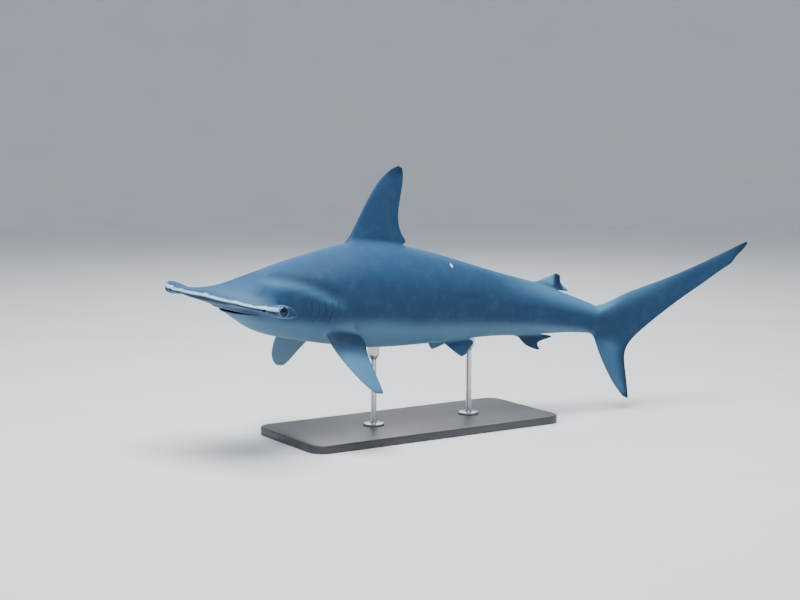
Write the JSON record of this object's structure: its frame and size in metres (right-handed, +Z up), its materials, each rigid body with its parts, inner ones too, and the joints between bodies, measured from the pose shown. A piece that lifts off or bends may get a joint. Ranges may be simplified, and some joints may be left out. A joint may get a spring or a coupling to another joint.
{
  "type": "hammerhead shark model",
  "caption": "Life-size scalloped hammerhead shark in a gentle swimming curve, held by rods on a flat display base.",
  "frame": {"origin": "centre of the whole model's footprint, on the floor under the base", "axes": "+X towards the tail, +Y towards the shark's right side, +Z up"},
  "size_m": [2.0226, 0.6218, 0.8567],
  "materials": {
    "skin": "satin, slate blue-grey above fading to pale below, very fine sandpaper grain",
    "belly_skin": "satin, pale bluish white",
    "fin_skin": "satin, slate with lighter front edges and dusky tips",
    "eye": "polished, dark pupil in a grey ring",
    "stand_board": "charcoal stained board, satin lacquer",
    "stand_steel": "fine brushed"
  },
  "bodies": {
    "root": {"head": "skin", "head_lobe_left": "skin", "head_lobe_right": "skin", "neck": "skin", "trunk_front": "skin", "trunk_rear": "skin", "tail_front": "skin", "tail_rear": "skin", "lower_jaw": "belly_skin", "dorsal_fin_first": "fin_skin", "dorsal_fin_second": "fin_skin", "pectoral_fin_left": "fin_skin", "pectoral_fin_right": "fin_skin", "pelvic_fin_left": "fin_skin", "pelvic_fin_right": "fin_skin", "anal_fin": "fin_skin", "caudal_fin_upper": "fin_skin", "caudal_fin_lower": "fin_skin", "eye_left": "eye", "eye_right": "eye", "stand_base": "stand_board", "stand_rod_front": "stand_steel", "stand_rod_rear": "stand_steel"}
  },
  "joints": []
}
